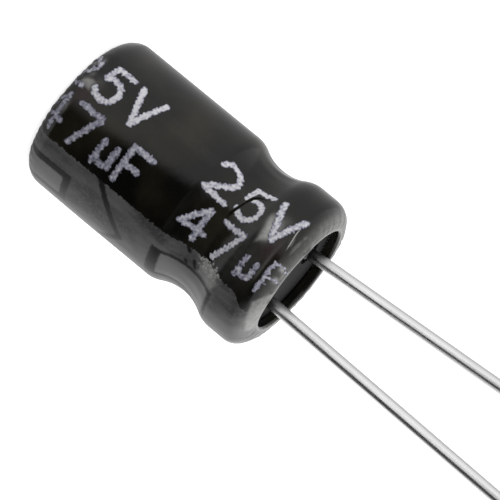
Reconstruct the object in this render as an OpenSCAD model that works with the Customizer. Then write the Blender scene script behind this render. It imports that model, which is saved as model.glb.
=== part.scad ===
// Radial electrolytic capacitor: a drawn can, beaded and curled over a rubber bung,
// in a shrunk sleeve, with two lead wires and the wound element sealed inside.
// It stands on its closed head. Z is the axis, both leads point up in the XZ plane,
// and the negative lead is on the +X side.

/* [Body] */
// Height of the sleeved body, from the head to the rim
body_height = 11; // [10:0.1:14]
// Outer diameter of the bare can
can_d = 6.3; // [6:0.1:8]

/* [Can] */
// Thickness of the can's wall and floor
can_wall = 0.25; // [0.2:0.01:0.3]
// Outer radius where the can's wall turns into its head
head_round = 0.55; // [0.4:0.05:0.8]
// How much wider than the body the can is above the bead
mouth_flare = 0.03; // [0:0.01:0.08]
// Outer radius of the edge that is curled over the bung
curl_r = 0.6; // [0.45:0.01:0.7]
// Width of the flat that ends the curl
curl_flat = 0.08; // [0.04:0.01:0.2]
// Length of each line of the cross scored in the head
vent_length = 3.4; // [2:0.1:4]
// Width of the scored lines
vent_width = 0.16; // [0.1:0.01:0.3]
// Depth of the scored lines
vent_depth = 0.08; // [0.04:0.01:0.12]

/* [Bead] */
// Distance from the rim down to the middle of the bead
bead_drop = 3.13; // [2.9:0.01:3.6]
// Depth that the bead is pressed into the can
bead_depth = 0.55; // [0.45:0.01:0.65]
// Half of the height that the bead takes up
bead_half = 1.6; // [1.4:0.05:1.8]
// Outer radius of the can's shoulders above and below the bead
shoulder_r = 1; // [0.7:0.05:1.2]

/* [Sleeve] */
// Thickness of the shrunk sleeve
sleeve_t = 0.2; // [0.1:0.01:0.25]
// Depth of the waist where the sleeve spans the bead
waist_depth = 0.41; // [0.3:0.01:0.44]
// Width of the flat ring where the sleeve laps over the head
head_lap = 0.3; // [0.2:0.05:0.8]
// Thickness of the sleeve's edge inside the mouth
lip_t = 0.1; // [0.08:0.01:0.14]
// Radius of the sleeve's edge where it turns into the mouth
lip_round = 0.12; // [0.05:0.01:0.14]
// Clearance between the sleeve's end and the bung's face
lip_clear = 0.05; // [0.02:0.01:0.1]

/* [Bung] */
// How far the rubber bung reaches down past the bead
bung_skirt = 0.25; // [0.25:0.05:1]
// Chamfer round the bung's inner end
bung_chamfer = 0.15; // [0.05:0.01:0.2]
// Depth of the stems' tops below the bung's face
stem_sink = 0.3; // [0.1:0.05:0.8]

/* [Leads] */
// Diameter of the lead wires
lead_d = 0.5; // [0.4:0.05:0.6]
// Distance between the leads at the bung
lead_pitch = 2.5; // [2.2:0.1:2.7]
// Height of the positive lead's end above the rim
anode_reach = 19.5; // [5:0.5:25]
// Height of the negative lead's end above the rim
cathode_reach = 15.5; // [5:0.5:25]
// Angle that the positive lead leans outward
anode_lean = 4.7; // [0.5:0.1:6]
// Angle that the negative lead leans outward
cathode_lean = 1.1; // [0.5:0.1:6]
// Length of the bevel at the cut end of each lead
cut_bevel = 0.06; // [0.02:0.01:0.15]

/* [Tabs] */
// Diameter of the round aluminium stems
stem_d = 1; // [0.8:0.05:1.2]
// Width of the flat paddles
paddle_width = 1.4; // [1:0.05:1.6]
// Thickness of the flat paddles
paddle_t = 0.2; // [0.12:0.01:0.25]
// Height of the bead of weld between stem and wire
weld_height = 0.4; // [0.2:0.01:0.5]
// How much wider than the wire the bead of weld is
weld_extra = 0.3; // [0.1:0.01:0.4]
// Distance of the paddles' ends above the foils' lower edges
paddle_short = 0.4; // [0.2:0.05:1]

/* [Winding] */
// Thickness of the etched anode foil
anode_foil_t = 0.1; // [0.06:0.01:0.12]
// Thickness of the cathode foil
cathode_foil_t = 0.03; // [0.02:0.01:0.06]
// Thickness of each separator paper
paper_t = 0.05; // [0.03:0.01:0.07]
// Thickness of the tape that closes the roll
tape_t = 0.06; // [0.03:0.01:0.1]
// Clearance between neighbouring layers
layer_gap = 0.01; // [0.01:0.005:0.02]
// Diameter of the hole left by the winding mandrel
mandrel_d = 1; // [0.8:0.05:1.2]
// Clearance between the roll and the can's wall
roll_clear = 0.1; // [0.05:0.01:0.2]
// Clearance between the roll and the can's floor
floor_clear = 0.05; // [0.02:0.01:0.2]
// Free height above the roll for the tabs
tab_space = 0.6; // [0.4:0.05:1]
// How far the foils' edges stay inside the papers' edges
foil_margin = 0.5; // [0.3:0.05:0.8]

/* [Hidden] */
$fn = 96;

arc_steps = 8;
through = 1;
can_r = can_d / 2;
mouth_r = can_r + mouth_flare;
can_foot = sleeve_t;
can_top = body_height - sleeve_t;
bead_z = body_height - bead_drop;
bead_r = can_r - bead_depth;
curl_end_r = mouth_r - curl_r - curl_flat;
waist_r = can_r + sleeve_t - waist_depth;
sleeve_mouth_r = curl_end_r - lip_t;

bung_top = can_top - can_wall;
bung_foot = bead_z - bead_half - bung_skirt;
stem_top = bung_top - stem_sink;
bore_r = can_r - can_wall;

roll_foot = can_foot + can_wall + floor_clear;
roll_top = bung_foot - tab_space;
foil_foot = roll_foot + foil_margin;
foil_top = roll_top - foil_margin;
paddle_foot = foil_foot + paddle_short;
// Height at which a paddle starts to swell into its stem, and the thin slices at both ends
swell_foot = roll_top + layer_gap;
swell_slice = 0.04;

// Angle between neighbouring points of a wound strip
step = 15;
// Clear angle on each side of a paddle, and the angle over which a layer falls back from it
paddle_clear = step;
paddle_ramp = 2 * step;
layer_pitch = 2 * paper_t + anode_foil_t + cathode_foil_t + 4 * layer_gap;
anode_at = paper_t + layer_gap;
outer_paper_at = anode_at + anode_foil_t + layer_gap;
cathode_at = outer_paper_at + paper_t + layer_gap;
anode_paddle_at = outer_paper_at - layer_gap / 2;
cathode_paddle_at = layer_pitch - layer_gap / 2;
paddle_room = paddle_t + layer_gap;
roll_r = bore_r - roll_clear;
tape_end = step * floor(360 / step * (roll_r - tape_t - paddle_room - mandrel_d / 2) / layer_pitch);
tape_start = tape_end - 360 + step;
roll_end = tape_start - step;
foil_start = 180;

// Winding angles at which each paddle lies under its own lead
function turns_to(r) = round((r - mandrel_d / 2) / layer_pitch);
anode_turn = 180 + 360 * turns_to(lead_pitch / 2 - paddle_t / 2 - anode_paddle_at - layer_pitch / 2);
cathode_turn = 360 * turns_to(lead_pitch / 2 - paddle_t / 2 - cathode_paddle_at);
paddle_half = asin(paddle_width / lead_pitch);

// Points of an arc about centre c, in the plane of radius and height
function arc(c, r, from, to) =
    [for (i = [0:arc_steps]) let (a = from + (to - from) * i / arc_steps) c + r * [cos(a), sin(a)]];

// The same points without any that repeat their neighbour
function no_repeats(p) =
    [for (i = [0:len(p) - 1]) if (i == 0 || norm(p[i] - p[max(i - 1, 0)]) > 0.0005) p[i]];

function reversed(p) = [for (i = [len(p) - 1:-1:0]) p[i]];

// Half of a bead: a shoulder arc that runs into a valley arc, from the wall down to the valley
// wall_r and valley_r are the radii at its ends, and side is -1 below the bead or 1 above it
function half_bead(wall_r, valley_r, shoulder, side) =
    let (drop = wall_r - valley_r,
         both = (bead_half * bead_half + drop * drop) / (2 * drop),
         turn = asin(bead_half / both),
         valley = both - shoulder)
    concat(arc([wall_r - shoulder, bead_z + side * bead_half], shoulder, 0, -side * turn),
           arc([valley_r + valley, bead_z], valley, 180 - side * turn, 180));

// The wall from below the bead to the end of the curl, set outward by the thickness out
function upper_wall(valley_r, out) =
    concat(half_bead(can_r + out, valley_r, shoulder_r + out, -1),
           reversed(half_bead(mouth_r + out, valley_r, shoulder_r + out, 1)),
           arc([mouth_r - curl_r, can_top - curl_r], curl_r + out, 0, 90));

// The whole wall, with the rounded edge of the head first
function whole_wall(valley_r, out) =
    concat(arc([can_r - head_round, can_foot + head_round], head_round + out, -90, 0),
           upper_wall(valley_r, out));

module turned(outline) {
    rotate_extrude()
        polygon(no_repeats(outline));
}

// Shrunk sleeve: laps over the head, spans the bead as a waist and turns into the mouth
module sleeve() {
    lap_r = can_r - head_round - head_lap;
    color("#1b1a1a")
        turned(concat(
            [[lap_r, 0]],
            whole_wall(waist_r, sleeve_t),
            arc([sleeve_mouth_r + lip_round, body_height - lip_round], lip_round, 90, 180),
            [[sleeve_mouth_r, bung_top + lip_clear], [curl_end_r, bung_top + lip_clear],
             [curl_end_r, can_top]],
            reversed(whole_wall(waist_r - sleeve_t, 0)),
            [[lap_r, sleeve_t]]));
}

// Drawn aluminium cup, with the pressed bead, the curled edge and the scored head
module can() {
    color("#c9ccd0")
        difference() {
            turned(concat(
                [[0, can_foot]],
                whole_wall(bead_r, 0),
                [[curl_end_r, can_top], [curl_end_r, bung_top]],
                reversed(whole_wall(bead_r - can_wall, -can_wall)),
                [[0, can_foot + can_wall]]));
            for (turn = [45, 135])
                rotate([0, 0, turn])
                    translate([-vent_length / 2, -vent_width / 2, can_foot - vent_depth])
                        cube([vent_length, vent_width, 2 * vent_depth]);
        }
}

// Rubber bung, squeezed by the bead and held down by the curl, with a hole for each stem
module bung() {
    color("#2a2a2b")
        difference() {
            turned(concat(
                [[0, bung_foot], [bore_r - bung_chamfer, bung_foot], [bore_r, bung_foot + bung_chamfer]],
                upper_wall(bead_r - can_wall, -can_wall),
                [[0, bung_top]]));
            for (side = [-1, 1])
                translate([side * lead_pitch / 2, 0, bung_foot - through])
                    cylinder(d = stem_d, h = bung_top - bung_foot + 2 * through);
        }
}

// Aluminium tab: a round stem through the bung, flattened below it into a paddle
module tab(side, turn, at) {
    translate([side * lead_pitch / 2, 0, bung_foot - swell_slice])
        cylinder(d = stem_d, h = stem_top - bung_foot + swell_slice);
    hull() {
        translate([side * lead_pitch / 2, 0, bung_foot - swell_slice])
            cylinder(d = stem_d, h = swell_slice, $fn = 32);
        translate([0, 0, swell_foot])
            linear_extrude(swell_slice)
                paddle_outline(turn, at);
    }
    translate([0, 0, paddle_foot])
        linear_extrude(swell_foot + swell_slice - paddle_foot)
            paddle_outline(turn, at);
}

module anode_tab() {
    color("#b9bcc0")
        tab(-1, anode_turn, anode_paddle_at);
}

module cathode_tab() {
    color("#b2b5b9")
        tab(1, cathode_turn, cathode_paddle_at);
}

// Tinned wire that leans outward from the bead of weld at its foot, with a bevelled end
module lead(reach, lean) {
    weld_r = (lead_d + weld_extra) / 2;
    foot = weld_height / 4;
    run = (body_height + reach - stem_top - foot) / cos(lean);
    translate([0, 0, stem_top]) {
        turned(concat(
            [[0, 0]],
            [for (i = [0:arc_steps]) let (a = 90 * i / arc_steps) [weld_r * cos(a), weld_height * sin(a)]]));
        translate([0, 0, foot])
            rotate([0, lean, 0]) {
                cylinder(d = lead_d, h = run - cut_bevel);
                translate([0, 0, run - cut_bevel])
                    cylinder(d1 = lead_d, d2 = lead_d - 2 * cut_bevel, h = cut_bevel);
            }
    }
}

module anode_lead() {
    color("#d6d7da")
        rotate([0, 0, 180])
            translate([lead_pitch / 2, 0, 0])
                lead(anode_reach, anode_lean);
}

module cathode_lead() {
    color("#cfd0d3")
        translate([lead_pitch / 2, 0, 0])
            lead(cathode_reach, cathode_lean);
}

// How far a layer is lifted over a paddle, at an angle away from the paddle's middle
function lift(away) =
    let (past = abs(away) - paddle_half - paddle_clear)
    past <= 0 ? paddle_room : past >= paddle_ramp ? 0 : paddle_room * (1 + cos(180 * past / paddle_ramp)) / 2;

function wrapped(a) = a - 360 * round(a / 360);

// A layer is lifted by a paddle that lies inside it: on later turns, or in the same turn
// when the layer starts past the paddle's place in the stack
function lift_of(a, at, turn, place) =
    let (later = a - turn)
    later > 180 || (later > -180 && at > place) ? lift(wrapped(later)) : 0;

// Point of a strip's face at winding angle a, for the face that lies at height at in the stack
function wound(a, at) =
    let (r = mandrel_d / 2 + layer_pitch * a / 360 + at
             + lift_of(a, at, anode_turn, anode_paddle_at)
             + lift_of(a, at, cathode_turn, cathode_paddle_at))
    r * [cos(a), sin(a)];

// The same for any angle: a point on the chord between the strip's own points
function on_chord(a, at) =
    let (i = floor(a / step), t = a / step - i)
    wound(i * step, at) * (1 - t) + wound((i + 1) * step, at) * t;

module strip(from, to, at, thick, foot, top) {
    inner = [for (a = [from:step:to]) wound(a, at)];
    outer = [for (a = [to:-step:from]) wound(a, at) + thick * [cos(a), sin(a)]];
    translate([0, 0, foot])
        linear_extrude(top - foot)
            polygon(concat(inner, outer));
}

// Paddle's section: it lies against the strip inside it and bends with it
module paddle_outline(turn, at) {
    between = [for (a = [turn - 180:step:turn + 180]) if (abs(a - turn) < paddle_half) a];
    angles = concat([turn - paddle_half], between, [turn + paddle_half]);
    inner = [for (a = angles) on_chord(a, at)];
    outer = [for (a = reversed(angles)) on_chord(a, at) + paddle_t * [cos(a), sin(a)]];
    polygon(concat(inner, outer));
}

module inner_separator() {
    color("#e8e0cc")
        strip(0, roll_end, 0, paper_t, roll_foot, roll_top);
}

module anode_foil() {
    color("#9a9da1")
        strip(foil_start, roll_end - foil_start, anode_at, anode_foil_t, foil_foot, foil_top);
}

module outer_separator() {
    color("#e3dac4")
        strip(0, roll_end, outer_paper_at, paper_t, roll_foot, roll_top);
}

module cathode_foil() {
    color("#b4b6ba")
        strip(foil_start, roll_end - step, cathode_at, cathode_foil_t, foil_foot, foil_top);
}

module closing_tape() {
    color("#d9c27a")
        strip(tape_start, tape_end, 0, tape_t, foil_foot, foil_top);
}

sleeve();
can();
bung();
anode_tab();
cathode_tab();
anode_lead();
cathode_lead();
anode_foil();
cathode_foil();
inner_separator();
outer_separator();
closing_tape();
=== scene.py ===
# Radial electrolytic capacitor, dressed for a studio picture on white.
# The film with its folds and print is made here. Every other piece is the frame's own solid with a finish.
import math

import bpy
import numpy as np
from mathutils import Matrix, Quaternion, Vector


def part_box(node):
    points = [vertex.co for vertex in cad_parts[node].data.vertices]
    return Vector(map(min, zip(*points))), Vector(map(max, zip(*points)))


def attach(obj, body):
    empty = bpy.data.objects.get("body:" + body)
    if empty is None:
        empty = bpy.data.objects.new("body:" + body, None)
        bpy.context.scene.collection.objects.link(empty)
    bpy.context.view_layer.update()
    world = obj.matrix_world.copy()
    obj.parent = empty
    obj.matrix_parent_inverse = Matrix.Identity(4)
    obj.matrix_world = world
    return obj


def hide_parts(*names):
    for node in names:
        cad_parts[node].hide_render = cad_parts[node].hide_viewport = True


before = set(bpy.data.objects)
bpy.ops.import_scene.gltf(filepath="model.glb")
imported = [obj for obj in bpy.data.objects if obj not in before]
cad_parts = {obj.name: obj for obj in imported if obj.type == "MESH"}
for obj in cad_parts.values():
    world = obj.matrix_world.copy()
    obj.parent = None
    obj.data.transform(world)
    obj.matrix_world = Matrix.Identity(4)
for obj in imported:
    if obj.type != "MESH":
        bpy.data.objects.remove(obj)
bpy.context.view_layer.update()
mm = 0.001
print("frame:", len(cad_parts), "solids")


# Tools

def linear(hexColour):
    channels = [int(hexColour[i:i + 2], 16) / 255 for i in (1, 3, 5)]
    return [c / 12.92 if c <= 0.04045 else ((c + 0.055) / 1.055) ** 2.4 for c in channels] + [1.0]


def perMetre(sizeMm):  # a texture's scale, from the real size of one grain or cell
    return 1 / (sizeMm * mm)


def addNode(tree, kind, settings=None, links=None):  # colours are hex. A link starts at a socket or a node
    node = tree.nodes.new("ShaderNode" + kind)
    for key, value in (settings or {}).items():
        if key == "stops":
            for i, (at, shade) in enumerate(value):
                stops = node.color_ramp.elements
                stop = stops[i] if i < len(stops) else stops.new(at)
                stop.position, stop.color = at, linear(shade)
        elif isinstance(key, int) or key in node.inputs:
            node.inputs[key].default_value = linear(value) if isinstance(value, str) else value
        else:
            setattr(node, key, value)
    for key, source in (links or {}).items():
        tree.links.new(getattr(source, "outputs", [source])[0], node.inputs[key])
    return node


def startMaterial(name):
    material = bpy.data.materials.new(name)
    material.use_nodes = True
    tree = material.node_tree
    tree.nodes.clear()
    return material, tree, addNode(tree, "TexCoord").outputs["Object"]


def endMaterial(tree, settings, links):
    shader = addNode(tree, "BsdfPrincipled", settings, links)
    addNode(tree, "OutputMaterial", links={"Surface": shader})


def dress(nodeName, material):
    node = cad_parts[nodeName]
    if not node.material_slots:
        node.data.materials.append(material)
    for slot in node.material_slots:
        slot.material = material


def smoothStep(value, low, high):
    t = np.clip((value - low) / (high - low), 0, 1)
    return t * t * (3 - 2 * t)


def addMesh(name, points, faces, material):
    mesh = bpy.data.meshes.new(name)
    mesh.from_pydata(points.tolist(), [], faces)
    mesh.polygons.foreach_set("use_smooth", [True] * len(faces))
    mesh.materials.append(material)
    piece = bpy.data.objects.new(name, mesh)
    bpy.context.scene.collection.objects.link(piece)
    return piece


def addField(piece, name, values):  # a number for each point, which a material reads
    attribute = piece.data.attributes.new(name, "FLOAT", "POINT")
    attribute.data.foreach_set("value", values.astype(np.float32))


# Camera: the photograph looks down on the standing part a little, and holds it on a slant with its head up

cameraSetup = {
    "position": (40.909, -107.253, 33.471),  # mm
    "aim": (-0.056, 0.590, 8.653),  # mm, beside the bead
    "roll": 129.6,  # degrees
    "lens": 224.0,
    "sensor": 36.0,
}


def makeCamera(setup):
    data = bpy.data.cameras.new("photoCamera")
    data.lens, data.sensor_width = setup["lens"], setup["sensor"]
    data.clip_start, data.clip_end = 0.01, 20  # metres
    camera = bpy.data.objects.new("photoCamera", data)
    bpy.context.scene.collection.objects.link(camera)
    position, aim = Vector(setup["position"]) * mm, Vector(setup["aim"]) * mm
    camera.rotation_mode = "QUATERNION"
    camera.location = position
    turn = Quaternion((0, 0, 1), math.radians(setup["roll"]))
    camera.rotation_quaternion = (aim - position).to_track_quat("-Z", "Y") @ turn
    bpy.context.scene.camera = camera


makeCamera(cameraSetup)
print("camera set")


# Shrunk film: a sleeve of PVC that laps over the head, spans the bead and turns in at the mouth.
# Sizes are mm. A place on it is an angle round the axis and a distance along its section, which starts at
# the lap on the head.

film = {
    "thickness": 0.2,
    "clearance": 0.01,  # from the can
    "lipThickness": 0.09,
    "headRound": 0.55,
    "headLap": 0.3,
    "mouthFlare": 0.03,
    "curlRadius": 0.6,
    "curlFlat": 0.08,
    "lipInset": 0.1,  # the film's edge inside the can's
    "lipRound": 0.12,
    "lipEnd": 10.6,
    "beadDrop": 3.13,
    "beadHalf": 1.6,
    "shoulder": 1.0,
    "waist": 0.41,
    "columns": 360,
    # distance along the section up to which rows lie this far apart
    "rows": [(1.5, 0.06), (6.6, 0.12), (12.9, 0.047)],
    "innerStep": 8,  # rows of the outer side for one of the inner side
    "samples": 2600,  # points along the section
    "lipShrink": -0.1,
    "lipShift": 0.155,
    "lipShiftTo": -159,  # degrees, the side where the mouth's edge is narrow
    # from where to where along the section the film turns in, and its edge gets thin
    "turnIn": (11.2, 12.4),
    "thinning": (11.6, 12.4),
    # ripples: where they are, height, seed, number of waves, turns round the axis, radians per mm along
    "ripples": [
        ("everywhere", 0.008, 3, 8, (1, 8), (-1.2, 1.2)),
        ("waist", 0.006, 5, 7, (12, 34), (-1.4, 1.4)),
        ("curl", 0.005, 8, 7, (24, 60), (-2, 2)),
        ("curl", 0.005, 13, 4, (-2, 3), (18, 34)),
        ("head", 0.007, 21, 7, (28, 66), (-2, 2)),
    ],
    "waistRipples": (8.9, 0.85),  # middle and half length
    "curlRipples": (11.1, 12.2),  # start and end, as for the next two
    "lipRipples": (12.1, 12.4),
    "headRipples": (0.4, 1.6),
    "lipCalm": 0.8,  # how far the curl's ripples die out at its edge
    # Folds that the shrinking left, as lines of (degrees, mm along). A fold stands up on one side of its
    # line and drops away on the other. A ridge stands up on both sides, whitened by the bending, with a
    # painted highlight.
    "folds": [
        {"line": [(-72, 8.72), (-76, 8.74), (-82, 8.79), (-88.6, 8.88), (-97, 9.01), (-100, 9.17),
                  (-102, 9.6)],
         "rise": 0.06, "width": 0.22, "drop": -0.02, "dropWidth": 0.088, "edge": 0.03, "fade": 0.25},
    ],
    "ridges": [
        {"line": [(-104, 11.21), (-93.5, 11.27), (-80, 11.42)], "rise": 0.03, "width": 0.05, "fade": 0.3},
    ],
    "lineFade": 0.22,  # share of a line's length in which its painted shade and its whitening with painted highlight begin and end
}

sleeveLow, sleeveHigh = (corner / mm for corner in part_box("sleeve"))
bodyHeight = sleeveHigh.z
bodyRadius = sleeveHigh.x - film["mouthFlare"]  # outside of the film on the straight wall
canRadius = bodyRadius - film["thickness"]


def arcPoints(centre, radius, start, stop, count=24):
    turn = np.radians(np.linspace(start, stop, count))
    return np.stack([centre[0] + radius * np.cos(turn), centre[1] + radius * np.sin(turn)], -1)


def halfBead(wall, valley, side):
    shoulder, half = film["shoulder"] + film["thickness"], film["beadHalf"]
    drop = wall - valley
    both = (half ** 2 + drop ** 2) / (2 * drop)
    turn = math.degrees(math.asin(half / both))
    beadHeight = bodyHeight - film["beadDrop"]
    return np.vstack([
        arcPoints((wall - shoulder, beadHeight + side * half), shoulder, 0, -side * turn),
        arcPoints((valley + both - shoulder, beadHeight), both - shoulder, 180 - side * turn, 180),
    ])


def filmSection():
    thick, curl, rounding = film["thickness"], film["curlRadius"], film["lipRound"]
    mouth = canRadius + film["mouthFlare"]
    waist = bodyRadius - film["waist"]
    lipRadius = mouth - curl - film["curlFlat"] - film["lipInset"]
    corner = canRadius - film["headRound"]
    corners = np.vstack([
        [[corner - film["headLap"], 0]],
        arcPoints((corner, thick + film["headRound"]), film["headRound"] + thick, -90, 0),
        halfBead(bodyRadius, waist, -1),
        halfBead(mouth + thick, waist, 1)[::-1],
        arcPoints((mouth - curl, bodyHeight - thick - curl), curl + thick, 0, 90),
        arcPoints((lipRadius + rounding, bodyHeight - rounding), rounding, 90, 180, 12),
        [[lipRadius, film["lipEnd"]]],
    ])
    steps = np.linalg.norm(np.diff(corners, axis=0), axis=1)
    kept = np.concatenate([[True], steps > 1e-6])
    corners = corners[kept]
    along = np.concatenate([[0], np.cumsum(np.linalg.norm(np.diff(corners, axis=0), axis=1))])
    even = np.linspace(0, along[-1], film["samples"])
    radius, height = (np.interp(even, along, corners[:, k]) for k in (0, 1))
    outRadius, outHeight = np.gradient(height, even), -np.gradient(radius, even)
    length = np.hypot(outRadius, outHeight)
    return {"at": even, "radius": radius, "height": height,
            "outRadius": outRadius / length, "outHeight": outHeight / length}


section = filmSection()
sectionLength = section["at"][-1]


def degreesToArc(degrees):  # distance round the straight wall
    return np.radians(degrees) * bodyRadius


def waves(angle, along, seed, count, turns, perMm):
    draw = np.random.default_rng(seed)
    total = 0
    for _ in range(count):
        phase = draw.uniform(0, 2 * math.pi) + draw.integers(*turns) * angle + draw.uniform(*perMm) * along
        total = total + np.sin(phase)
    return total / math.sqrt(count / 2)


def besideLine(angle, along, line):  # signed distance to a line of places, and the share run along it
    places = np.array([(degreesToArc(a), b) for a, b in line])
    here = np.stack([angle * bodyRadius, along], -1)
    best, signed, run = np.full(angle.shape, 1e9), np.zeros(angle.shape), np.zeros(angle.shape)
    lengths = np.linalg.norm(np.diff(places, axis=0), axis=1)
    for i, (start, stop) in enumerate(zip(places[:-1], places[1:])):
        step = stop - start
        share = np.clip(((here - start) @ step) / (step @ step), 0, 1)
        away = here - (start + share[..., None] * step)
        distance = np.linalg.norm(away, axis=-1)
        side = np.sign(step[0] * away[..., 1] - step[1] * away[..., 0])
        nearer = distance < best
        best = np.where(nearer, distance, best)
        signed = np.where(nearer, side * distance, signed)
        run = np.where(nearer, (lengths[:i].sum() + share * lengths[i]) / lengths.sum(), run)
    return signed, run


# Where the strained film has turned pale, with painted highlights and reflections in the same pale colour,
# and where it has a red-brown cast, in degrees and mm along

whiteningAndHighlights = {
    # on the curl and at the lip's rounded edge the pale colour is partly strain whitening and partly a
    # painted highlight
    "curl": 0.17,  # share, as for edge
    "curlFrom": (11.4, 12.1),
    "curlTo": (12.40, 12.52),
    "edge": 0.75,
    "edgeAt": 12.38,
    "edgeLong": 0.04,
    # the two bright spots on the curl and the smear beside the bead (second and third area) are painted
    # highlights
    # degrees, mm along, half size round the film and along it in mm, share
    "patches": [
        (-78, 10.60, 0.22, 0.12, 0.12), (-70, 11.80, 0.12, 0.14, 0.75), (-61, 11.85, 0.12, 0.12, 0.75),
        (-66, 12.05, 0.20, 0.08, 0.30), (-98, 0.92, 0.14, 0.12, 0.45), (-84, 1.18, 0.22, 0.16, 0.26),
        (-64, 1.16, 0.20, 0.14, 0.50), (-58, 1.14, 0.16, 0.12, 0.45), (-46, 1.16, 0.14, 0.12, 0.40),
        (-88, 1.7, 0.25, 0.25, 0.08), (-64, 9.95, 1.3, 0.40, 0.05), (-60, 10.6, 1.1, 0.55, 0.04),
        (-90, 10.17, 0.30, 0.12, 0.22), (-95, 10.68, 0.22, 0.22, 0.12), (-61.5, 1.26, 0.12, 0.10, 0.28),
        (-90.3, 1.24, 0.12, 0.10, 0.22), (-102.5, 1.14, 0.14, 0.10, 0.34), (-12, 11.9, 0.9, 0.35, 0.22),
        (-128, 11.9, 1.6, 0.35, 0.20),
    ],
    # areas with an edge: their corners in order, how softly they end in mm, and their share
    "areas": [
        ([(-79.5, 1.00), (-84, 1.02), (-88.5, 1.40), (-87, 1.70), (-78.5, 1.66)], 0.14, 0.44),
        ([(-70, 10.24), (-96, 9.98), (-91, 10.46), (-80, 10.82)], 0.26, 0.44),
        ([(-70, 10.24), (-96, 9.98), (-98, 10.46), (-91, 11.04), (-78, 10.86)], 0.34, 0.40),
        ([(-25.5, 8.96), (-41, 8.98), (-40, 9.95), (-32, 10.15), (-25.5, 9.98)], 0.14, 0.34),
        ([(-54, 12.42), (-47, 11.84), (-40, 11.50), (-30, 11.58), (-4, 11.78), (8, 12.42)], 0.16, 0.44),
    ],
    "redAt": -77,  # degrees
    "redWide": 0.5,
    "redAlong": (1.5, 10.95),  # the middle of each of the two casts
    "redLong": 0.30,
    # how hard the film is stretched: in the waist, at the curl, and a little along the wall
    "waistAt": 9.45,
    "waistLong": 0.68,
    "curlStrain": 0.35,
    "curlStrainFrom": (11.0, 12.0),
    "wallStrain": 0.09,
    "wallStrainFrom": (2.5, 6.5),
    "wallStrainTo": (9.1, 11.0),
}


def insideArea(angle, along, corners):  # distance inside an area's edges, for corners that run one way round
    places = np.array([(degreesToArc(a), b) for a, b in corners])
    here, inside = np.stack([angle * bodyRadius, along], -1), np.full(angle.shape, 9.0)
    for start, stop in zip(places, np.roll(places, -1, axis=0)):
        step = (stop - start) / np.linalg.norm(stop - start)
        inside = np.minimum(inside, step[1] * (here[..., 0] - start[0]) - step[0] * (here[..., 1] - start[1]))
    return inside


# pale film colour: real strain whitening together with painted highlights and reflections
def palenessAndHighlights(angle, along):
    curl = smoothStep(along, *whiteningAndHighlights["curlFrom"]) * (1 - smoothStep(along, *whiteningAndHighlights["curlTo"]))
    edge = np.exp(-((along - whiteningAndHighlights["edgeAt"]) / whiteningAndHighlights["edgeLong"]) ** 2)
    pale = whiteningAndHighlights["curl"] * curl + whiteningAndHighlights["edge"] * edge
    for degrees, middle, wide, long, share in whiteningAndHighlights["patches"]:
        off = (np.degrees(angle) - degrees + 180) % 360 - 180
        pale = pale + share * np.exp(-(degreesToArc(1) * off / wide) ** 2 - ((along - middle) / long) ** 2)
    for corners, soft, share in whiteningAndHighlights["areas"]:
        inside = np.maximum(insideArea(angle, along, corners), insideArea(angle, along, corners[::-1]))
        pale = pale + share * smoothStep(inside, 0, soft)
    return np.clip(pale, 0, 1)


def redness(angle, along):  # a slight red-brown cast beside the whitened parts
    across = degreesToArc(np.degrees(angle) - whiteningAndHighlights["redAt"])
    casts = sum(np.exp(-((along - middle) / whiteningAndHighlights["redLong"]) ** 2) for middle in whiteningAndHighlights["redAlong"])
    return np.exp(-(across / whiteningAndHighlights["redWide"]) ** 2) * casts


def strainAlong(along):
    waist = np.exp(-((along - whiteningAndHighlights["waistAt"]) / whiteningAndHighlights["waistLong"]) ** 2)
    curl = whiteningAndHighlights["curlStrain"] * smoothStep(along, *whiteningAndHighlights["curlStrainFrom"])
    start, end = (smoothStep(along, *whiteningAndHighlights[key]) for key in ("wallStrainFrom", "wallStrainTo"))
    return waist + curl + whiteningAndHighlights["wallStrain"] * start * (1 - end)


def formed(run, fade):  # how fully a line is formed at a share of its length
    return smoothStep(run, 0, fade) * smoothStep(1 - run, 0, fade)


def nearestLine(angle, along, lines):  # signed distance to the nearest line, and how fully it is formed there
    side, reach = np.full(angle.shape, 9.0), np.zeros(angle.shape)
    for line in lines:
        here, run = besideLine(angle, along, line["line"])
        nearer = np.abs(here) < np.abs(side)
        side, reach = np.where(nearer, here, side), np.where(nearer, formed(run, film["lineFade"]), reach)
    return side, reach


def filmRelief(angle, along):
    middle, half = film["waistRipples"]
    lip = 1 - film["lipCalm"] * smoothStep(along, *film["lipRipples"])
    strengths = {
        "everywhere": 1,
        "waist": np.exp(-((along - middle) / half) ** 2),
        "curl": smoothStep(along, *film["curlRipples"]) * lip,
        "head": 1 - smoothStep(along, *film["headRipples"]),
    }
    relief = 0
    for where, height, *pattern in film["ripples"]:
        relief = relief + height * strengths[where] * waves(angle, along, *pattern)
    for fold in film["folds"]:
        side, run = besideLine(angle, along, fold["line"])
        high = fold["rise"] * np.exp(-np.abs(side) / fold["width"])
        low = fold["drop"] * np.exp(-np.abs(side) / fold["dropWidth"])
        height = low + (high - low) * smoothStep(side, -fold["edge"], fold["edge"])
        relief = relief + formed(run, fold["fade"]) * height
    for ridge in film["ridges"]:
        side, run = besideLine(angle, along, ridge["line"])
        height = ridge["rise"] * np.exp(-(side / ridge["width"]) ** 2)
        relief = relief + formed(run, ridge["fade"]) * height
    return relief


def filmPoint(angle, along, lift=0.0, crumpled=True):
    radius, height, outRadius, outHeight = (
        np.interp(along, section["at"], section[key])
        for key in ("radius", "height", "outRadius", "outHeight"))
    if crumpled:
        lift = lift + filmRelief(angle, along)
    lip = smoothStep(along, *film["turnIn"])
    toNarrow = np.cos(angle - math.radians(film["lipShiftTo"]))
    radius = radius + outRadius * lift + lip * (film["lipShrink"] + film["lipShift"] * toNarrow)
    height = height + outHeight * lift
    return np.stack([radius * np.cos(angle), radius * np.sin(angle), height], -1) * mm


# Printed stripe on the side of the negative lead, with outlined bars and chevrons that point to it

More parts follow.
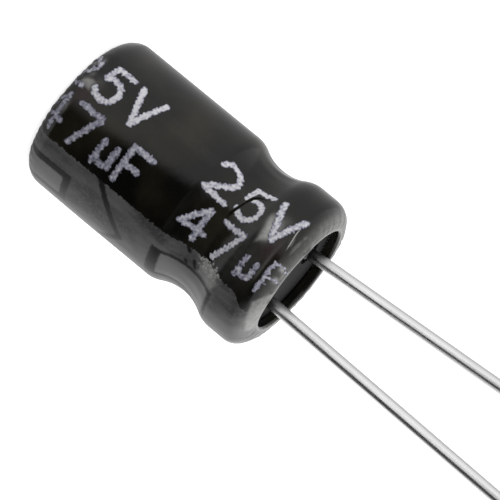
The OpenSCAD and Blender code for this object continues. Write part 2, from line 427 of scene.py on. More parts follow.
stripe = {
    "middle": -8.5,  # degrees from the negative lead
    "half": 30.3,  # degrees
    "waistAt": 9.6,
    "waistLong": 0.6,
    "waistSpread": 2.2,  # degrees that it is wider in the waist
    "taper": 9,  # degrees that it is narrower at the mouth
    "taperAlong": (10.7, 11.6),
    "biteDepth": 0.06,  # of the bites in its edge in the waist
    "biteSpacing": 0.26,
    "tears": [[(-32.0, 8.72), (-26.5, 8.86)], [(-27.6, 8.40), (-24.5, 8.50)], [(-38.6, 8.24), (-36.0, 8.38)]],
    "tearHalf": 0.07,
    "period": 7.1,
    "barFrom": 7.0,
    "barTo": 10.1,
    "barMiddle": -11,  # degrees
    "barHalf": 0.84,
    "barStart": 0.45,  # width of the line at the bar's start, the others being barLine
    "barLine": 0.22,
    "lineSpread": (1.4, 0.75),  # times barLine, near the head and past the waist
    "lineAlong": (3.5, 7.5),
    "tipAt": 5.66,
    "chevronSlope": 0.90,
    "chevronLine": 0.25,
    "chevronEnd": 11.3,
}


def stripeFields(angle, along):
    across = np.abs(angle * bodyRadius - degreesToArc(stripe["middle"]))
    inWaist = np.exp(-((along - stripe["waistAt"]) / stripe["waistLong"]) ** 2)
    half = stripe["half"] + stripe["waistSpread"] * inWaist
    half = half - stripe["taper"] * smoothStep(along, *stripe["taperAlong"])
    place = 2 * math.pi * along / stripe["biteSpacing"] + np.sin(3 * along)
    inStripe = degreesToArc(half) - across + stripe["biteDepth"] * inWaist * np.sin(place)

    thick, thin = stripe["lineSpread"]
    barLine = stripe["barLine"] * (thick + (thin - thick) * smoothStep(along, *stripe["lineAlong"]))
    barSide = stripe["barHalf"] - np.abs(angle * bodyRadius - degreesToArc(stripe["barMiddle"]))
    marks, inBar = np.full(angle.shape, -1.0), np.full(angle.shape, -1.0)
    for turn in (-1, 0, 1):
        start, stop, tip = (stripe[key] + turn * stripe["period"] for key in ("barFrom", "barTo", "tipAt"))
        outer = np.minimum(barSide, np.minimum(along - start, stop - along))
        inner = np.minimum(barSide - barLine,
                           np.minimum(along - start - stripe["barStart"], stop - barLine - along))
        marks, inBar = np.maximum(marks, np.minimum(outer, -inner)), np.maximum(inBar, inner)
        off = np.abs(along - tip + stripe["chevronSlope"] * across)
        line = stripe["chevronLine"] / 2 - off / math.hypot(1, stripe["chevronSlope"])
        marks = np.maximum(marks, np.where(along < stripe["chevronEnd"], line, -1.0))
    for tear in stripe["tears"]:
        marks = np.maximum(marks, stripe["tearHalf"] - np.abs(besideLine(angle, along, tear)[0]))
    return inStripe, marks, inBar


# Shrink film, PVC: extruded and heat shrunk, so it is glossy and very dark with a faint warm cast.
# The stripe is grey ink on it, duller than the film, and is broken into flakes where the film shrank most.

filmFinish = {
    "black": "#0d0d0b",
    "blackWarm": "#26241b",
    "blackRed": "#2a1a1a",
    "ink": "#3f3f3f",
    "inkPale": "#616161",
    "inkThick": "#7a7a7a",
    "mark": "#121212",
    "speck": "#a4a4a1",
    # pale: whitened film, and also the colour of painted highlights and reflections
    "pale": "#b4b4b1",
    "shade": "#050505",
    "ior": 1.38,
    "roughness": (0.16, 0.30, 0.45),  # film, ink, whitened film with its painted highlights
    "cloud": 2.4,  # mm, as for the next four
    "streak": 0.6,
    "peel": 0.22,
    "jag": 0.13,
    "crack": 0.12,
    "peelDepth": 0.004,  # mm
    "inkDepth": 0.6,  # the ink's height, as a share of that
    "streakScale": (1.0, 1.0, 0.3),
    "crackScale": (0.65, 0.65, 1.0),
    "crease": (0.030, 0.012),  # mm from a fold's line, where the shade under it begins and where it is full
    "ridge": 0.035,
    "wander": (0.20, 0.60),  # of printed edges, in mm, and how much more where the film is strained
    "markWander": 0.16,
    "printBlur": 0.015,  # mm, half the width over which a printed edge ends, and then a mark's
    "markBlur": 0.05,
    "breaks": (0.30, 0.66),  # strain at which the ink begins to break up, and has broken up
    # soft steps: what each reads, where it starts and ends, and its levels there
    "steps": {
        "warm": ("cloud", 0.42, 0.75, 0.0, 1.0),
        "streaked": ("streak", 0.32, 0.68, 0.0, 1.0),
        "specked": ("jag", 0.45, 0.70, 0.0, 0.5),
        "thick": ("inBar", -0.03, 0.05, 0.0, 0.6),
        "nearEdge": ("inStripe", 0.25, 0.75, 1.0, 0.0),
        "brink": ("inStripe", 0.05, 0.20, 0.40, 0.0),
        "flake": ("cell", 0.15, 0.75, 0.20, 0.90),
        "grit": ("jag", 0.35, 0.65, 0.5, 1.2),
        "crackEdge": ("split", 0.02, 0.14, 0.75, 0.0),
        "patchy": ("peel", 0.25, 0.75, 0.75, 1.2),
    },
}


def makeFilmMaterial(finish):
    material, tree, place = startMaterial("pvcShrinkFilm")
    read = {name: addNode(tree, "Attribute", {"attribute_name": name}).outputs["Fac"]
            for name in ("inStripe", "inMark", "inBar", "strain", "pale", "red", "foldSide", "foldReach",
                         "ridgeSide", "ridgeReach")}
    for name in ("cloud", "peel", "jag"):
        read[name] = addNode(tree, "TexNoise", {"Scale": perMetre(finish[name]), "Detail": 3.0},
                             {"Vector": place})
    stretch = addNode(tree, "Mapping", {"Scale": finish["streakScale"]}, {"Vector": place})
    read["streak"] = addNode(tree, "TexNoise", {"Scale": perMetre(finish["streak"]), "Detail": 4.0},
                             {"Vector": stretch})
    squash = addNode(tree, "Mapping", {"Scale": finish["crackScale"]}, {"Vector": place})
    for name, feature, output in (("cell", "F1", "Color"), ("split", "DISTANCE_TO_EDGE", "Distance")):
        cells = addNode(tree, "TexVoronoi", {"feature": feature, "Scale": perMetre(finish["crack"])},
                        {"Vector": squash})
        read[name] = cells.outputs[output]
    soft = {"interpolation_type": "SMOOTHSTEP"}
    for name, (source, low, high, first, last) in finish["steps"].items():
        read[name] = addNode(
            tree, "MapRange", {**soft, "From Min": low, "From Max": high, "To Min": first, "To Max": last},
            {"Value": read[source]})

    # printed edges wander a little, and more where the film is strained
    jagged = addNode(tree, "Math", {"operation": "SUBTRACT", 1: 0.5}, {0: read["jag"]})
    least, more = finish["wander"]
    wander = addNode(tree, "Math", {"operation": "MULTIPLY_ADD", 1: more, 2: least}, {0: read["strain"]})
    stripeEdge = addNode(tree, "Math", {"operation": "MULTIPLY_ADD"},
                         {0: jagged, 1: wander, 2: read["inStripe"]})
    blur = finish["printBlur"]
    printed = addNode(tree, "MapRange", {**soft, "From Min": -blur, "From Max": blur}, {"Value": stripeEdge})
    markEdge = addNode(tree, "Math", {"operation": "MULTIPLY_ADD", 1: finish["markWander"]},
                       {0: jagged, 2: read["inMark"]})
    blur = finish["markBlur"]
    marked = addNode(tree, "MapRange", {**soft, "From Min": -blur, "From Max": blur}, {"Value": markEdge})

    # along the stripe's strained edge the ink has gathered in pale flakes with dark cracks between
    strained = addNode(tree, "Math", {"operation": "MULTIPLY"}, {0: read["nearEdge"], 1: read["strain"]})
    whole, torn = finish["breaks"]
    broken = addNode(tree, "MapRange", {**soft, "From Min": whole, "From Max": torn}, {"Value": strained})
    flaked = addNode(tree, "Math", {"operation": "MULTIPLY"}, {0: broken, 1: printed})
    gritty = addNode(tree, "Math", {"operation": "MULTIPLY"}, {0: read["flake"], 1: read["grit"]})
    bright = addNode(tree, "Math", {"operation": "ADD", "use_clamp": True}, {0: gritty, 1: read["brink"]})
    flakes, cracks = (addNode(tree, "Math", {"operation": "MULTIPLY"}, {0: flaked, 1: share})
                      for share in (bright, read["crackEdge"]))

    # bending whitens the film along ridges and round the mouth, in a patchy way, and this pale colour also
    # paints in the highlights there; a fold's gap gets a painted shade
    besideRidge, besideFold = (addNode(tree, "Math", {"operation": "ABSOLUTE"}, {0: read[side]})
                               for side in ("ridgeSide", "foldSide"))
    ridgeHighlight = addNode(tree, "MapRange", {**soft, "From Min": finish["ridge"], "From Max": 0.0},
                      {"Value": besideRidge})
    lit, dark = finish["crease"]
    underFold = addNode(tree, "MapRange", {**soft, "From Min": lit, "From Max": dark}, {"Value": besideFold})
    ridge, gap, patches = (
        addNode(tree, "Math", {"operation": "MULTIPLY"}, {0: one, 1: two})
        for one, two in ((ridgeHighlight, read["ridgeReach"]), (underFold, read["foldReach"]),
                         (read["pale"], read["patchy"])))
    whitenedAndHighlit = addNode(tree, "Math", {"operation": "ADD", "use_clamp": True}, {0: patches, 1: ridge})

    # each colour lies over those before it, by its share
    layers = {
        "film": ("black", [(read["warm"], "blackWarm"), (read["red"], "blackRed")]),
        "stripe": ("ink", [(read["streaked"], "inkPale"), (read["specked"], "inkPale"),
                           (read["thick"], "inkThick"), (marked, "mark")]),
    }
    tones = {}
    for part, (base, overlays) in layers.items():
        settings, links = {6: finish[base]}, {}
        for share, tone in overlays:
            mix = addNode(tree, "Mix", {"data_type": "RGBA", 7: finish[tone], **settings},
                          {0: share, **links})
            settings, links = {}, {6: mix.outputs[2]}
        tones[part] = mix.outputs[2]
    colour = addNode(tree, "Mix", {"data_type": "RGBA"},
                     {0: printed, 6: tones["film"], 7: tones["stripe"]}).outputs[2]
    for share, tone in ((flakes, "speck"), (cracks, "mark"), (whitenedAndHighlit, "pale")):
        colour = addNode(tree, "Mix", {"data_type": "RGBA", 7: finish[tone]},
                         {0: share, 6: colour}).outputs[2]

    onFilm, onInk, onPaleAndHighlight = finish["roughness"]
    rough = addNode(tree, "Mix", {2: onFilm, 3: onInk}, {0: printed})
    rough = addNode(tree, "Mix", {3: onPaleAndHighlight}, {0: whitenedAndHighlit, 2: rough})
    height = addNode(tree, "Math", {"operation": "MULTIPLY_ADD", 1: finish["inkDepth"]},
                     {0: printed, 2: read["peel"]})
    bump = addNode(tree, "Bump", {"Distance": finish["peelDepth"] * mm}, {"Height": height})
    skin = addNode(tree, "BsdfPrincipled", {"IOR": finish["ior"]},
                   {"Base Color": colour, "Roughness": rough, "Normal": bump})
    shade = addNode(tree, "BsdfDiffuse", {"Color": finish["shade"]})
    both = addNode(tree, "MixShader", links={0: gap, 1: skin, 2: shade})
    addNode(tree, "OutputMaterial", links={"Surface": both})
    return material


def makeFilm():
    alongs, start = [], 0.0
    for stop, step in film["rows"]:
        stop = min(stop, sectionLength)
        alongs.append(np.linspace(start, stop, max(2, round((stop - start) / step) + 1))[:-1])
        start = stop
    outer = np.concatenate(alongs + [[sectionLength]])
    inner = np.unique(np.concatenate([outer[::film["innerStep"]], [sectionLength]]))[::-1]
    angles = np.linspace(-math.pi, math.pi, film["columns"], endpoint=False)

    angle, along = np.meshgrid(angles, outer)
    outerPoints = filmPoint(angle, along)
    inAngle, inAlong = np.meshgrid(angles, inner)
    full = film["thickness"] - film["clearance"]
    thickness = full + (film["lipThickness"] - full) * smoothStep(inAlong, *film["thinning"])
    innerPoints = filmPoint(inAngle, inAlong, -thickness, crumpled=False)
    points = np.concatenate([outerPoints.reshape(-1, 3), innerPoints.reshape(-1, 3)])

    columns, rows = film["columns"], len(outer) + len(inner)
    faces = []
    for row in range(rows):
        here, above = row * columns, (row + 1) % rows * columns
        for column in range(columns):
            beside = (column + 1) % columns
            faces.append((here + column, here + beside, above + beside, above + column))
    piece = addMesh("shrunk_film", points, faces, makeFilmMaterial(filmFinish))

    allAngles = np.concatenate([angle.ravel(), inAngle.ravel()])
    allAlongs = np.concatenate([along.ravel(), inAlong.ravel()])
    fields = dict(zip(("inStripe", "inMark", "inBar"), stripeFields(allAngles, allAlongs)))
    fields["strain"] = strainAlong(allAlongs)
    fields["pale"], fields["red"] = palenessAndHighlights(allAngles, allAlongs), redness(allAngles, allAlongs)
    for kind, lines in (("fold", film["folds"]), ("ridge", film["ridges"])):
        fields[kind + "Side"], fields[kind + "Reach"] = nearestLine(allAngles, allAlongs, lines)
    for name, values in fields.items():
        addField(piece, name, values)
    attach(piece, "root")
    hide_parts("sleeve")
    print("film:", len(faces), "faces")


makeFilm()


# Rating print: plain figures for voltage and capacitance, in two rows that repeat along the body.
# A glyph is strokes in a box one unit high, with its foot at 0. The ink lies on the film in beaded strokes.

ratings = {
    "height": 1.48,  # mm, between the middles of the top and bottom strokes, as are all sizes here
    "width": 0.76,  # of the widest sign, as a share of the height
    "stroke": 0.28,
    "bead": 0.18,  # spacing of the swellings along a stroke
    "swell": 0.11,
    "margin": 0.26,
    "cell": 0.02,  # of the grid that the outline is drawn on
    "tooth": 0.016,  # of the ragged edge
    "teeth": 36,
    "toothTurns": (10, 42),  # radians per mm
    "wear": 0.09,
    "wearLevel": 0.55,  # between patches
    "wearHead": (0.7, 1.6),  # along the film, from where to where it ends or begins
    "wearLip": (11.2, 11.9),
    "lipWear": 2.4,  # how much worse it is there
    "wearPatches": 6,
    "patchTurns": (14, 30),
    "creaseWear": 0.4,
    "creaseWide": (0.03, 0.06),
    "fromLap": 0.03,  # how far the ink stays from the film's two edges
    "fromLip": 0.4,
    "edgeLift": 0.005,
    "rise": 0.12,  # height of the ink for each mm from its outline
    "ink": 0.012,  # greatest height above the film
    "sunk": -0.02,
    "thinTo": (-0.02, 0.08),  # distance from the outline over which the ink covers better
    "mottle": 0.11,
    "mottleShare": 1.8,  # how strongly it changes the thickness that the colour shows
    "grit": 0.05,
    "gritDepth": 0.004,
    "roughness": 0.5,
    "ior": 1.48,
    "colours": [(0.0, "#34343c"), (0.25, "#747486"), (0.6, "#a9a9b7"), (1.0, "#dcdce0")],  # thin to thick
    # sign, its middle along the film in mm, how far its foot is raised in mm, its size, how well it covers
    "rows": [
        {"foot": -79.5, "signs": [
            ("2", 0.74, 0, 1, 0.60), ("5", 2.13, 0, 1, 0.85), ("V", 3.64, 0, 1, 0.97),
            ("2", 7.80, 0, 1, 0.86), ("5", 9.22, 0, 1, 0.94), ("V", 10.72, 0, 1, 0.82)]},
        {"foot": -45.2, "signs": [
            ("4", 0.90, 0, 1, 0.50), ("7", 2.26, 0, 1, 0.50), ("u", 3.62, 0, 1, 0.46),
            ("F", 4.85, 0, 1, 0.62), ("4", 7.93, 0, 1, 0.62), ("7", 9.33, 0, 1, 0.84),
            ("u", 10.67, 0.2, 0.82, 0.50), ("F", 11.80, 0.2, 0.85, 0.55)]},
    ],
}


def bow(centreX, centreY, radiusX, radiusY, start, stop, count=14):
    turn = np.radians(np.linspace(start, stop, count))
    return [(centreX + radiusX * math.cos(t), centreY + radiusY * math.sin(t)) for t in turn]


glyphs = {
    "2": [bow(0.33, 0.70, 0.32, 0.30, 165, -38) + [(0.02, 0.02), (0.70, 0.0)]],
    "4": [[(0.54, 0.0), (0.54, 1.0), (0.02, 0.30), (0.74, 0.30)]],
    "5": [[(0.66, 1.0), (0.14, 1.0), (0.09, 0.58)] + bow(0.32, 0.33, 0.33, 0.33, 128, -150)],
    "7": [[(0.02, 1.0), (0.70, 1.0), (0.28, 0.0)]],
    "V": [[(0.0, 1.0), (0.37, 0.0), (0.74, 1.0)]],
    "u": [[(0.02, 0.0), (0.06, 0.66)], bow(0.25, 0.24, 0.19, 0.16, 180, 360) + [(0.46, 0.66), (0.46, 0.12)]],
    "F": [[(0.0, 0.0), (0.0, 1.0), (0.60, 1.0)], [(0.0, 0.52), (0.44, 0.52)]],
}


def ragged(x, y, draw, count, turns):  # a sum of waves that run every way
    total = 0
    for turn in draw.uniform(0, 2 * math.pi, count):
        across = x * math.cos(turn) + y * math.sin(turn)
        total = total + np.sin(across * draw.uniform(*turns) + draw.uniform(0, 6))
    return total


def strokeField(strokes, x, y, seed):  # how far inside the ink a point is, in mm
    draw = np.random.default_rng(seed)
    field = np.full(x.shape, -1.0)
    for stroke in strokes:
        places = np.array(stroke) * ratings["height"]
        run, phase = 0.0, draw.uniform(0, 6)
        for start, stop in zip(places[:-1], places[1:]):
            step = stop - start
            length = np.linalg.norm(step)
            share = np.clip(((x - start[0]) * step[0] + (y - start[1]) * step[1]) / length ** 2, 0, 1)
            distance = np.hypot(x - start[0] - share * step[0], y - start[1] - share * step[1])
            place = (run + share * length) * 2 * math.pi / ratings["bead"] + phase
            beads = np.cos(place + 1.4 * np.sin(0.31 * place))  # not evenly spaced
            half = ratings["stroke"] / 2 * (1 + ratings["swell"] * beads)
            field = np.maximum(field, half - distance)
            run += length
    tooth = ragged(x, y, draw, ratings["teeth"], ratings["toothTurns"])
    return field + ratings["tooth"] * tooth / 4.2  # so many waves add up to about that


def worn(angle, along, seed):  # ink that is lost where the film is pulled over the head, creased or curled in
    patch = ragged(angle * bodyRadius, along, np.random.default_rng(seed), ratings["wearPatches"],
                   ratings["patchTurns"])
    lip = ratings["lipWear"] * smoothStep(along, *ratings["wearLip"])
    loss = 1 - smoothStep(along, *ratings["wearHead"]) + lip
    side, reach = nearestLine(angle, along, film["folds"])
    broken = ratings["creaseWear"] * reach * (1 - smoothStep(np.abs(side), *ratings["creaseWide"]))
    return ratings["wear"] * loss * (ratings["wearLevel"] + patch / 3) + broken


def traceInk(field):  # polygons of the area where the field is above zero, on the grid's cells
    corners, polygons = {}, []

    def corner(key, x, y, depth):
        if key not in corners:
            corners[key] = (len(corners), x, y, depth)
        return corners[key][0]

    rows, columns = field.shape
    for j in range(rows - 1):
        for i in range(columns - 1):
            ring = [(i, j), (i + 1, j), (i + 1, j + 1), (i, j + 1)]
            depths = [field[b, a] for a, b in ring]
            if max(depths) <= 0:
                continue
            polygon = []
            for k in range(4):
                (a, b), (c, d) = ring[k], ring[(k + 1) % 4]
                here, there = depths[k], depths[(k + 1) % 4]
                if here > 0:
                    polygon.append((corner((a, b), a, b, here), False))
                if (here > 0) != (there > 0):
                    t = here / (here - there)
                    key = (min(a, c), min(b, d), a == c)
                    polygon.append((corner(key, a + t * (c - a), b + t * (d - b), 0.0), True))
            if len(polygon) > 2:
                polygons.append(polygon)
    places = np.array([(x, y, depth) for _, x, y, depth in corners.values()])
    return places, polygons


def makeInkMaterial():
    # Pad-printed vinyl ink: white paint in beads, matt, blue-grey where it thins out over the black film
    material, tree, place = startMaterial("padPrintedInk")
    mottle, grit = (
        addNode(tree, "TexNoise", {"Scale": perMetre(ratings[key]), "Detail": detail}, {"Vector": place})
        for key, detail in (("mottle", 3.0), ("grit", 2.0)))
    depth = addNode(tree, "Attribute", {"attribute_name": "inkDepth"})
    uneven = addNode(tree, "Math", {"operation": "SUBTRACT", 1: 0.5}, {0: mottle})
    thick = addNode(tree, "Math", {"operation": "MULTIPLY_ADD", 1: ratings["mottleShare"]},
                    {0: uneven, 2: depth.outputs["Fac"]})
    colour = addNode(tree, "ValToRGB", {"stops": ratings["colours"]}, {"Fac": thick})
    bump = addNode(tree, "Bump", {"Distance": ratings["gritDepth"] * mm}, {"Height": grit})
    endMaterial(tree, {"Roughness": ratings["roughness"], "IOR": ratings["ior"]},
                {"Base Color": colour, "Normal": bump})
    return material


def makeRatings():
    margin, cell = ratings["margin"], ratings["cell"]
    across = np.arange(-margin, ratings["height"] * ratings["width"] + margin, cell)
    upward = np.arange(-margin, ratings["height"] + margin, cell)
    x, y = np.meshgrid(across, upward)
    points, faces, inks, total = [], [], [], 0
    for row in ratings["rows"]:
        for sign, middle, raised, size, cover in row["signs"]:
            strokes = glyphs[sign]
            width = max(px for stroke in strokes for px, _ in stroke) * ratings["height"]
            gridAlong = middle + (x - width / 2) * size
            gridAngle = math.radians(row["foot"]) - (y * size + raised) / bodyRadius
            seed = int(middle * 100) + ord(sign)
            field = strokeField(strokes, x, y, seed) - worn(gridAngle, gridAlong, seed)
            fromLip = sectionLength - ratings["fromLip"] - gridAlong
            inFilm = np.minimum(gridAlong - ratings["fromLap"], fromLip)
            places, polygons = traceInk(np.minimum(field, inFilm))
            if not polygons:
                continue
            along = middle + (across[0] + places[:, 0] * cell - width / 2) * size
            up = (upward[0] + places[:, 1] * cell) * size + raised
            angle = math.radians(row["foot"]) - up / bodyRadius
            lift = np.minimum(ratings["edgeLift"] + places[:, 2] * ratings["rise"], ratings["ink"])
            count = len(places)
            points += [filmPoint(angle, along, lift), filmPoint(angle, along, ratings["sunk"])]
            inks += [cover * smoothStep(places[:, 2], *ratings["thinTo"])] * 2
            for polygon in polygons:
                top = [total + index for index, _ in polygon]
                faces.append(tuple(top[::-1]))
                faces.append(tuple(index + count for index in top))
                for (one, oneEdge), (two, twoEdge) in zip(polygon, polygon[1:] + polygon[:1]):
                    if oneEdge and twoEdge:
                        faces.append((total + one, total + two, total + two + count, total + one + count))
            total += 2 * count
    piece = addMesh("rating_print", np.concatenate(points), faces, makeInkMaterial())
    addField(piece, "inkDepth", np.concatenate(inks))
    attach(piece, "root")
    print("print:", len(faces), "faces")


makeRatings()


# Finishes of the frame's own solids. Grains, fibres and depths of relief are mm. Where the real grain is too
# fine to show, as on the foils, the tissue and the rubber, it is drawn as coarse as it needs to.

tinFinish = {
    "dark": "#d2d2d2",
    "pale": "#eaeaea",
    "weld": "#4a4a4c",
    "weldTop": (10.5, 11.3),  # height over which the dark grey root gives way to bright wire
    "line": 0.05,
    "lineScale": (1.0, 1.0, 0.02),
    "spot": 0.8,
    "depth": 0.0015,
    "roughness": (0.22, 0.36),
}


def makeTinMaterial(finish):
    # Tinned steel wire: drawn, then dipped in tin, so it is bright with fine lines along it, and dark grey
    # near its root
    _, tree, place = startMaterial("tinnedWire")
    stretch = addNode(tree, "Mapping", {"Scale": finish["lineScale"]}, {"Vector": place})
    lines = addNode(tree, "TexNoise", {"Scale": perMetre(finish["line"]), "Detail": 3.0}, {"Vector": stretch})
    spots = addNode(tree, "TexNoise", {"Scale": perMetre(finish["spot"]), "Detail": 4.0}, {"Vector": place})
    wire = addNode(tree, "Mix", {"data_type": "RGBA", 6: finish["dark"], 7: finish["pale"]}, {0: lines})
    up = addNode(tree, "SeparateXYZ", links={"Vector": place})
    low, high = finish["weldTop"]
    onWire = addNode(tree, "MapRange", {
        "interpolation_type": "SMOOTHSTEP", "From Min": low * mm, "From Max": high * mm,
    }, {"Value": up.outputs["Z"]})
    colour = addNode(tree, "Mix", {"data_type": "RGBA", 6: finish["weld"]}, {0: onWire, 7: wire.outputs[2]})
    least, most = finish["roughness"]
    rough = addNode(tree, "MapRange", {"To Min": least, "To Max": most}, {"Value": spots})
    bump = addNode(tree, "Bump", {"Distance": finish["depth"] * mm}, {"Height": lines})
    endMaterial(tree, {"Metallic": 1.0},
                {"Base Color": colour.outputs[2], "Roughness": rough, "Normal": bump})


aluminiumFinishes = {
    "pressedAluminium": {"dark": "#6f7174", "pale": "#8b8d90", "rough": 0.50, "grain": 0.10, "depth": 0.003},
    "drawnAluminium": {"dark": "#bfc1c4", "pale": "#d9dadc", "rough": 0.30, "grain": 0.16, "depth": 0.003},
    "rolledFoil": {"dark": "#b7b9bc", "pale": "#d2d3d5", "rough": 0.28, "grain": 0.08, "depth": 0.002},
    "etchedFoil": {"dark": "#77797c", "pale": "#96989b", "rough": 0.62, "grain": 0.03, "depth": 0.004},
}
roughnessSpread = 0.08  # either way, from grain to grain


def makeAluminiumMaterial(name, finish):
    # Aluminium: satin where it is drawn or rolled, duller where it is pressed, and matt dark grey when etched
    _, tree, place = startMaterial(name)
    grains = addNode(tree, "TexNoise", {"Scale": perMetre(finish["grain"]), "Detail": 4.0}, {"Vector": place})
    colour = addNode(tree, "Mix", {"data_type": "RGBA", 6: finish["dark"], 7: finish["pale"]}, {0: grains})
    least, most = finish["rough"] - roughnessSpread, finish["rough"] + roughnessSpread
    rough = addNode(tree, "MapRange", {"To Min": least, "To Max": most}, {"Value": grains})
    bump = addNode(tree, "Bump", {"Distance": finish["depth"] * mm}, {"Height": grains})
    endMaterial(tree, {"Metallic": 1.0},
                {"Base Color": colour.outputs[2], "Roughness": rough, "Normal": bump})


paperFinishes = {
    "capacitorTissue": {"dark": "#d9cfb4", "pale": "#eee6d2", "rough": 0.7, "fibre": 0.05, "depth": 0.004},
    "polypropyleneTape": {"dark": "#c9ad62", "pale": "#dcc687", "rough": 0.3, "fibre": 0.2, "depth": 0.004},
}
fibreScale = (1.0, 1.0, 0.25)  # long along the axis


def makePaperMaterial(name, finish):
    # Tissue is pressed pulp, pale and matt with fine fibres. Tape is drawn film, amber with smooth streaks
    _, tree, place = startMaterial(name)
    stretch = addNode(tree, "Mapping", {"Scale": fibreScale}, {"Vector": place})
    fibres = addNode(tree, "TexNoise", {
        "Scale": perMetre(finish["fibre"]), "Detail": 5.0, "Distortion": 1.2}, {"Vector": stretch})
    colour = addNode(tree, "Mix", {"data_type": "RGBA", 6: finish["dark"], 7: finish["pale"]}, {0: fibres})
    bump = addNode(tree, "Bump", {"Distance": finish["depth"] * mm}, {"Height": fibres})
    endMaterial(tree, {"Roughness": finish["rough"]}, {"Base Color": colour.outputs[2], "Normal": bump})


rubberFinish = {
    "dark": "#191919",
    "pale": "#262626",
    "powder": 0.06,
    "cloud": 1.2,
    "depth": 0.006,
    "roughness": 0.8,
    "ior": 1.36,
}


def makeRubberMaterial(finish):
    # Butyl rubber: pressed in a mould, matt dark grey with a fine powdery grain
    _, tree, place = startMaterial("butylRubber")
    powder, cloud = (
        addNode(tree, "TexNoise", {"Scale": perMetre(finish[key]), "Detail": detail}, {"Vector": place})
        for key, detail in (("powder", 4.0), ("cloud", 2.0)))
    colour = addNode(tree, "Mix", {"data_type": "RGBA", 6: finish["dark"], 7: finish["pale"]}, {0: cloud})
    bump = addNode(tree, "Bump", {"Distance": finish["depth"] * mm}, {"Height": powder})
    endMaterial(tree, {"Roughness": finish["roughness"], "IOR": finish["ior"]},
                {"Base Color": colour.outputs[2], "Normal": bump})


makeTinMaterial(tinFinish)
for materialName, finish in aluminiumFinishes.items():
    makeAluminiumMaterial(materialName, finish)
for materialName, finish in paperFinishes.items():
    makePaperMaterial(materialName, finish)
makeRubberMaterial(rubberFinish)
for nodeName, materialName in {
    "can": "drawnAluminium", "bung": "butylRubber",
    "anode_tab": "pressedAluminium", "cathode_tab": "pressedAluminium",
    "anode_lead": "tinnedWire", "cathode_lead": "tinnedWire",
    "anode_foil": "etchedFoil", "cathode_foil": "rolledFoil",
    "inner_separator": "capacitorTissue", "outer_separator": "capacitorTissue",
    "closing_tape": "polypropyleneTape",
}.items():
    dress(nodeName, bpy.data.materials[materialName])
print("finishes on the solids")


# Studio: a pale floor, white all round, and one dark board that gives the black band down the film

studio = {
    "floorSize": 3.0,  # metres
    "floor": "#e4e4e4",
    "floorGrain": 0.6,  # mm
    "floorDepth": 0.01,  # mm
    "floorBump": 0.2,
    "fill": (0.30, 0.82),  # added to the lit floor in reflections, and for the camera
    "white": 1.0,
    "lampPlace": (-0.10, -0.12, 0.30),  # metres
    "lampSize": 0.12,
    "lampWatts": 0.10,
}
# Boards seen only by bounced rays, each spread like a skirt over part of the round. A board has rings:
# distance from the axis and height in mm, first and last dark angle, how softly the dark ends at each, and
# the brightness of the dark and of the white before and after it.
boards = {
    "mirrorBoard": {
        "from": -112, "to": 100, "fade": 14, "levels": 120,
        "rings": [
            (3.6, 0.015, -67, 10, 7, 24, 0.85, 0.9, 0.9), (9.6, 0.02, -67, 10, 7, 24, 0.85, 1.0, 1.0),
            (10.7, 0.35, -69, 10, 7, 24, 0.004, 1.0, 1.0), (21, 2.9, -82, 10, 7, 24, 0.004, 1.0, 1.0),
            (28.5, 4.65, -86, 10, 7, 24, 0.004, 1.0, 1.0), (31.5, 5.4, -42, 30, 6, 7, 0.04, 1.35, 1.1),
            (70, 14.6, -42, 30, 6, 7, 0.04, 1.35, 1.1), (76, 16, -84, 10, 7, 24, 0.004, 1.0, 1.0),
            (110, 130, -84, 10, 7, 24, 0.004, 1.0, 1.0),
        ],
    },
    "mirrorCollar": {  # stands close by, for what the shoulder above the straight wall mirrors
        "from": -112, "to": 100, "fade": 14, "levels": 12,
        "rings": [(8, 5.7, -84, 10, 7, 24, 0.16, 1.0, 1.0), (8.07, 6.4, -84, 10, 7, 24, 0.12, 1.0, 1.0),
                  (8.1, 6.7, -84, 10, 7, 24, 0.07, 1.0, 1.0), (8.3, 8.7, -84, 10, 7, 24, 0.05, 1.0, 1.0)],
    },
    "mirrorFoot": {  # low beside the head, so that the black band reaches down to it
        "from": -112, "to": 100, "fade": 14, "levels": 4,
        "rings": [(4.5, 0.03, -67, -10, 7, 18, 0.004, 1.0, 1.0),
                  (4.6, 2.1, -67, -10, 7, 18, 0.004, 1.0, 1.0)],
    },
    "mirrorGrey": {  # behind on the left, so that the film's far edge isn't too bright
        "from": -250, "to": -128, "fade": 55, "levels": 30,
        "rings": [(4, 0.02, 200, 201, 1, 1, 0.5, 0.64, 0.64), (10, 0.3, 200, 201, 1, 1, 0.5, 0.64, 0.64),
                  (110, 24, 200, 201, 1, 1, 0.5, 0.68, 0.68)],
    },
    "shadeBoard": {  # keeps light off the matt surfaces that face the camera
        "from": -112, "to": 100, "fade": 14, "levels": 12,
        "rings": [(6.2, 0.02, -82, 0, 14, 26, 0.34, 1.0, 1.0), (50, 70, -82, 0, 14, 26, 0.34, 1.0, 1.0)],
    },
}


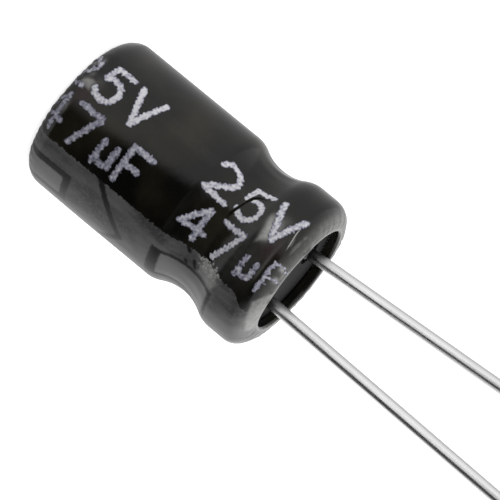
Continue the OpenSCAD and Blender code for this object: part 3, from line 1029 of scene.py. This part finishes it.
def makeFloor():
    # Background paper: uncoated, so it is matt, with a grain that hardly shows
    material, tree, place = startMaterial("matPaperFloor")
    grain = addNode(tree, "TexNoise", {"Scale": perMetre(studio["floorGrain"]), "Detail": 3.0},
                    {"Vector": place})
    bump = addNode(tree, "Bump", {"Strength": studio["floorBump"], "Distance": studio["floorDepth"] * mm},
                   {"Height": grain})
    matt = addNode(tree, "BsdfDiffuse", {"Color": studio["floor"]}, {"Normal": bump})
    path = addNode(tree, "LightPath").outputs
    mirrored = addNode(tree, "Math", {"operation": "MAXIMUM"},
                       {0: path["Is Glossy Ray"], 1: path["Is Transmission Ray"]})
    parts = [addNode(tree, "Math", {"operation": "MULTIPLY", 1: share}, {0: ray})
             for share, ray in zip(studio["fill"], (mirrored, path["Is Camera Ray"]))]
    strength = addNode(tree, "Math", {"operation": "MAXIMUM"}, dict(enumerate(parts)))
    fill = addNode(tree, "Emission", links={"Strength": strength})
    both = addNode(tree, "AddShader", links={0: matt, 1: fill})
    addNode(tree, "OutputMaterial", links={"Surface": both})
    half = studio["floorSize"] / 2
    points = np.array([(-half, -half, 0), (half, -half, 0), (half, half, 0), (-half, half, 0)])
    addMesh("floor", points, [(0, 1, 2, 3)], material)


def makeBoard(name, board, columns=110):
    material, tree, _ = startMaterial(name)
    level = addNode(tree, "Attribute", {"attribute_name": "level"})
    light = addNode(tree, "Emission", links={"Strength": level.outputs["Fac"]})
    clear = addNode(tree, "BsdfTransparent")
    behind = addNode(tree, "NewGeometry").outputs["Backfacing"]
    both = addNode(tree, "MixShader", links={0: behind, 1: light, 2: clear})
    addNode(tree, "OutputMaterial", links={"Surface": both})
    material.cycles.emission_sampling = "NONE"

    rings = np.array(board["rings"], dtype=float)
    run = np.concatenate([[0], np.cumsum(np.hypot(*np.diff(rings[:, :2], axis=0).T))])
    at = np.linspace(0, 1, board["levels"] + 1) ** 1.6 * run[-1]  # closer together near the part
    degrees, at = np.meshgrid(np.linspace(board["from"], board["to"], columns + 1), at)
    radius, height, start, stop, startSoft, stopSoft, dark, before, after = (
        np.interp(at, run, rings[:, k]) for k in range(9))
    share = smoothStep(degrees, start - startSoft, start + startSoft) * (
        1 - smoothStep(degrees, stop - stopSoft, stop + stopSoft))
    ends = smoothStep(np.minimum(degrees - board["from"], board["to"] - degrees), 0, board["fade"])
    white = 1 + (before + (after - before) * smoothStep(degrees, start, stop) - 1) * ends
    levels = white + share * (dark - white)
    angle = np.radians(degrees)
    points = np.stack([radius * np.cos(angle), radius * np.sin(angle), height], -1) * mm
    width = columns + 1
    faces = [(r * width + c, (r + 1) * width + c, (r + 1) * width + c + 1, r * width + c + 1)
             for r in range(board["levels"]) for c in range(columns)]
    piece = addMesh(name, points.reshape(-1, 3), faces, material)
    addField(piece, "level", levels.ravel())
    piece.visible_camera = piece.visible_shadow = piece.visible_transmission = False
    piece.visible_glossy, piece.visible_diffuse = name != "shadeBoard", name == "shadeBoard"


def makeLight():
    world = bpy.data.worlds.new("whiteStudio")
    bpy.context.scene.world = world
    world.use_nodes = True
    world.node_tree.nodes.clear()
    sky = addNode(world.node_tree, "Background", {"Color": "#ffffff", "Strength": studio["white"]})
    addNode(world.node_tree, "OutputWorld", links={"Surface": sky})
    data = bpy.data.lights.new("softBox", "AREA")
    data.shape, data.size, data.energy = "DISK", studio["lampSize"], studio["lampWatts"]
    lamp = bpy.data.objects.new("softBox", data)
    lamp.location = studio["lampPlace"]
    lamp.rotation_mode = "QUATERNION"
    lamp.rotation_quaternion = (-Vector(studio["lampPlace"])).to_track_quat("-Z", "Y")
    bpy.context.scene.collection.objects.link(lamp)


makeFloor()
for boardName, board in boards.items():
    makeBoard(boardName, board)
makeLight()
bpy.context.scene.view_settings.view_transform = "Standard"
print("studio set")
